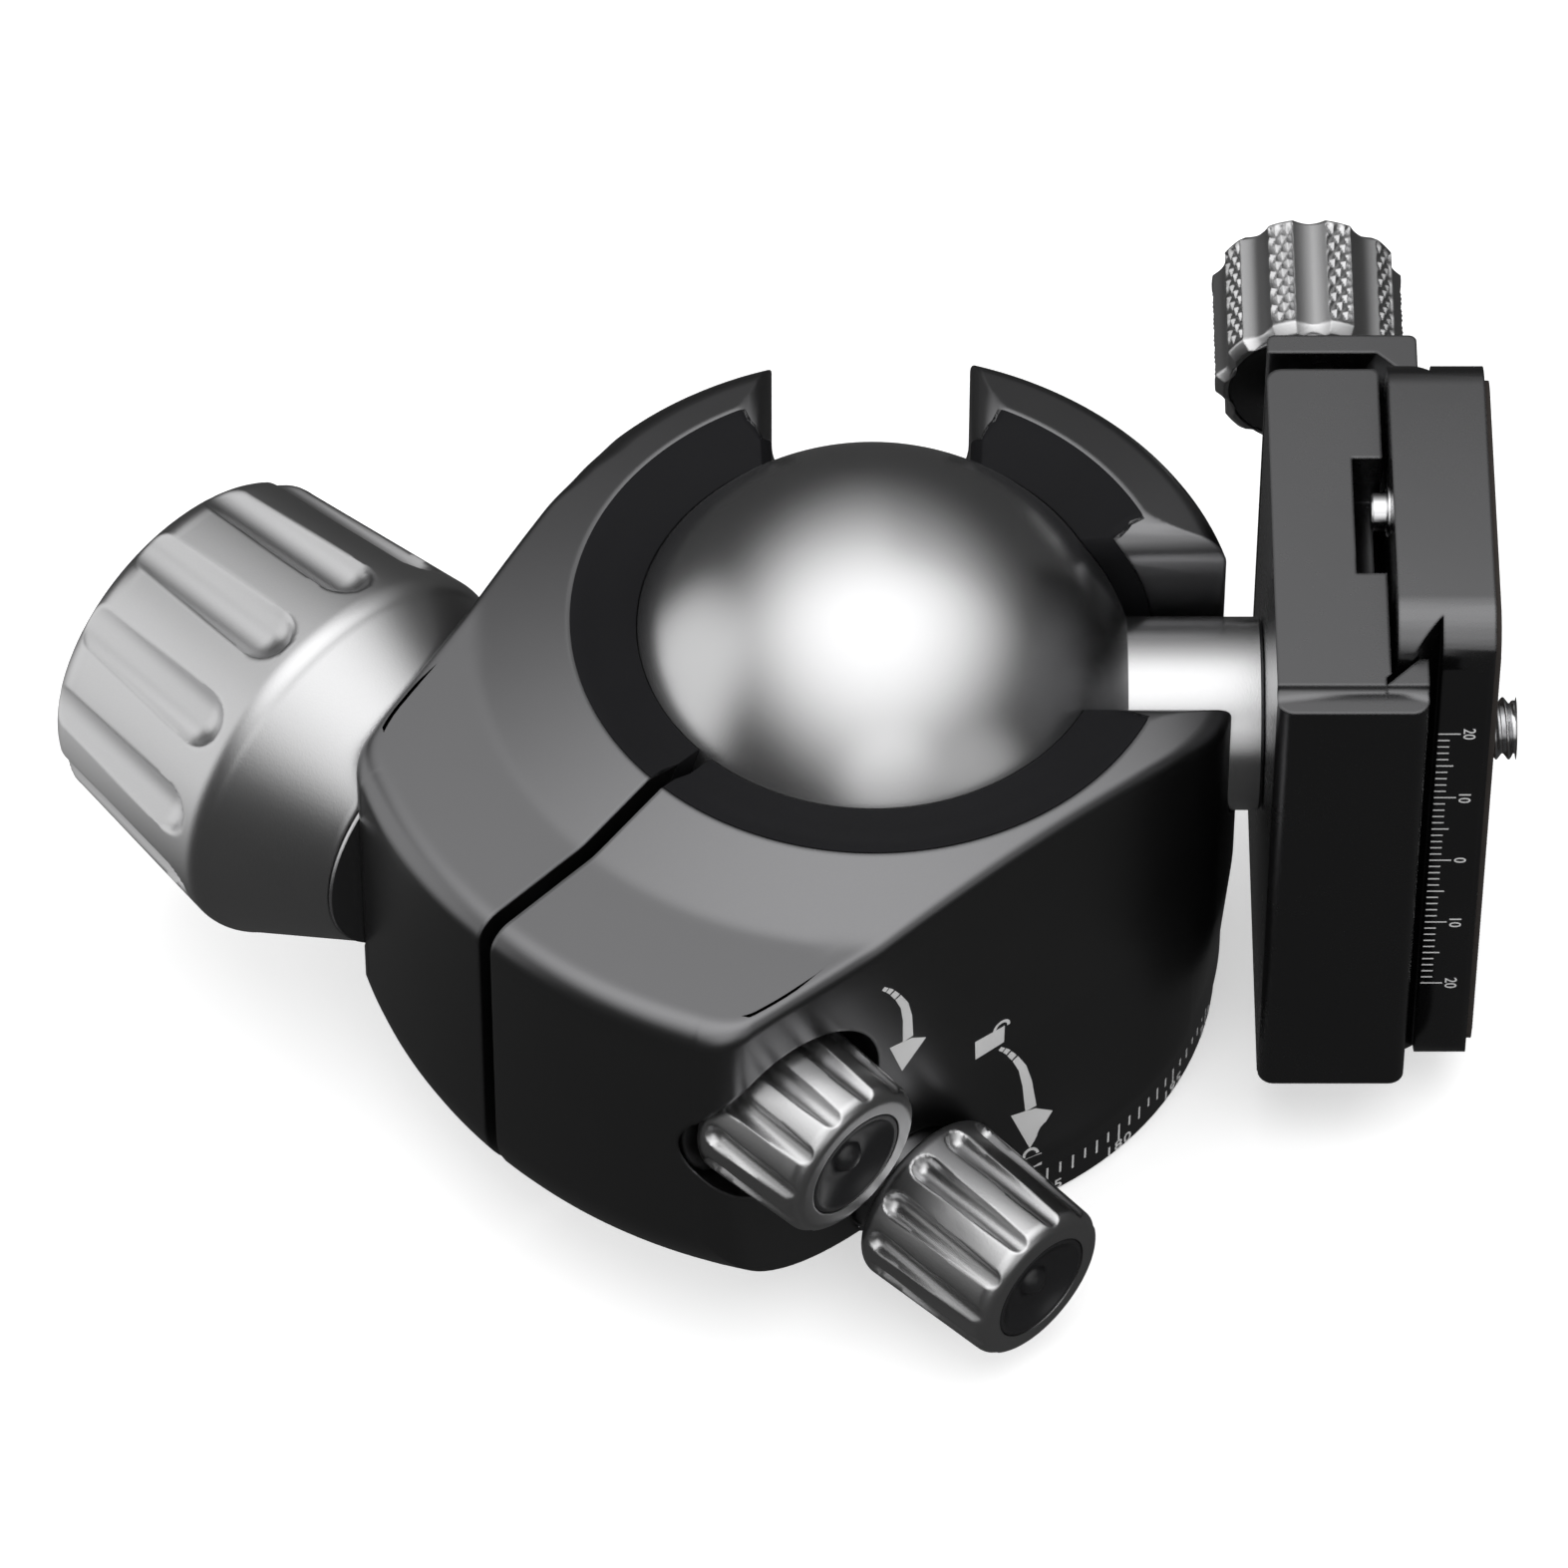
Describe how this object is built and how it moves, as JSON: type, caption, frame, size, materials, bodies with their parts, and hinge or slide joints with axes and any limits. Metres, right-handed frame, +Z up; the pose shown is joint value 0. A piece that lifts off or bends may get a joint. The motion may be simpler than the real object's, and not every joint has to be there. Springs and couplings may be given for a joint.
{
  "type": "tripod ball head",
  "caption": "Low-profile tripod ball head: a slit housing clamps a ball whose stem carries a dovetail quick-release clamp with its plate; a graduated base pans under it.",
  "frame": {"origin": "centre of the tripod hole at the base disc's underside", "axes": "+Z up along the pan axis; +X along the stem, towards the clamp; +Y towards the clamp's knob; the camera of the picture looks along +Y"},
  "size_m": [0.1481, 0.1178, 0.075],
  "materials": {
    "black_anodised": "fine bead-blasted black anodised, satin",
    "silver_anodised": "fine bead-blasted natural anodised, satin",
    "black_cap": "smooth black, satin gloss",
    "polymer": "dark low-friction polymer",
    "plain_steel": "turned steel",
    "bright_steel": "bright plated",
    "brass": "turned brass",
    "rubber": "dark ribbed rubber"
  },
  "bodies": {
    "base": {"pan_base": "black_anodised", "tripod_bushing": "plain_steel", "glide_ring": "polymer", "pan_washer": "bright_steel", "retaining_ring": "plain_steel", "retainer_screws": "bright_steel"},
    "housing": {"housing": "black_anodised", "lower_cup": "black_anodised", "seat_spring": "plain_steel", "ball_seat": "polymer", "liner_front": "polymer", "liner_left": "polymer", "liner_rear": "polymer", "bolt_bush": "brass", "thrust_washer": "bright_steel", "tension_nut": "plain_steel", "friction_collar": "black_anodised", "pan_neck": "black_anodised"},
    "brake_shoe": {"brake_shoe": "brass"},
    "ball": {"ball_and_stem": "silver_anodised"},
    "main_lock": {"main_knob": "silver_anodised", "main_knob_cap": "black_cap", "clamp_bolt": "plain_steel"},
    "friction_lock": {"friction_knob": "silver_anodised", "friction_knob_cap": "black_cap", "friction_screw": "plain_steel"},
    "pan_lock": {"pan_knob": "silver_anodised", "pan_knob_cap": "black_cap", "pan_screw": "plain_steel"},
    "clamp": {"clamp_body": "black_anodised", "clamp_screw": "bright_steel", "jaw_guide_pins": "bright_steel"},
    "jaw": {"movable_jaw": "black_anodised"},
    "jaw_lock": {"jaw_screw": "plain_steel", "jaw_clip": "bright_steel", "jaw_washer": "bright_steel", "clamp_knob": "silver_anodised", "clamp_knob_hub": "black_anodised"},
    "plate": {"plate": "black_anodised", "rubber_pad": "rubber", "stop_screws": "bright_steel"},
    "screw_slider": {"screw_washer": "plain_steel"},
    "camera_screw": {"camera_screw": "bright_steel"}
  },
  "joints": [
    {"name": "pan", "type": "hinge", "parent": "base", "child": "housing", "pos_m": [0, 0, 0.008], "axis": [0, 0, 1], "continuous": true},
    {"name": "tilt", "type": "hinge", "parent": "housing", "child": "ball", "pos_m": [0, 0, 0.04], "axis": [0, -1, 0], "range_deg": [0, 120]},
    {"name": "stem_spin", "type": "hinge", "parent": "ball", "child": "clamp", "pos_m": [0.0394, 0, 0.04], "axis": [1, 0, 0], "continuous": true},
    {"name": "main_lock_turn", "type": "hinge", "parent": "housing", "child": "main_lock", "pos_m": [-0.0448, -0.01029, 0.035], "axis": [-0.7071, 0.7071, 0], "range_deg": [0, 180]},
    {"name": "friction_turn", "type": "hinge", "parent": "housing", "child": "friction_lock", "pos_m": [-0.01153, -0.04356, 0.035], "axis": [0.7071, -0.7071, 0], "range_deg": [-90, 180]},
    {"name": "pan_lock_turn", "type": "hinge", "parent": "housing", "child": "pan_lock", "pos_m": [0.00481, -0.04016, 0.013], "axis": [0.7071, -0.7071, 0], "range_deg": [0, 140]},
    {"name": "brake_slide", "type": "slide", "parent": "housing", "child": "brake_shoe", "axis": [0.7071, -0.7071, 0], "range_m": [0, 0.0005]},
    {"name": "jaw_slide", "type": "slide", "parent": "clamp", "child": "jaw", "axis": [0, 1, 0], "range_m": [0, 0.004]},
    {"name": "jaw_screw_turn", "type": "hinge", "parent": "jaw", "child": "jaw_lock", "pos_m": [0.0457, 0.0433, 0.04], "axis": [0, 1, 0], "range_deg": [0, 1250]},
    {"name": "plate_slide", "type": "slide", "parent": "clamp", "child": "plate", "axis": [0, 0, 1], "range_m": [-0.0048, 0.0048]},
    {"name": "camera_screw_slide", "type": "slide", "parent": "plate", "child": "screw_slider", "axis": [0, 0, 1], "range_m": [-0.0065, 0.0113]},
    {"name": "camera_screw_turn", "type": "hinge", "parent": "screw_slider", "child": "camera_screw", "pos_m": [0.0615, 0, 0.0376], "axis": [1, 0, 0], "continuous": true}
  ],
  "couplings": [
    {"joint": "brake_slide", "follows": "pan_lock_turn", "m_per_rad": 0.00015915},
    {"joint": "jaw_slide", "follows": "jaw_screw_turn", "m_per_rad": 0.00015915}
  ]
}
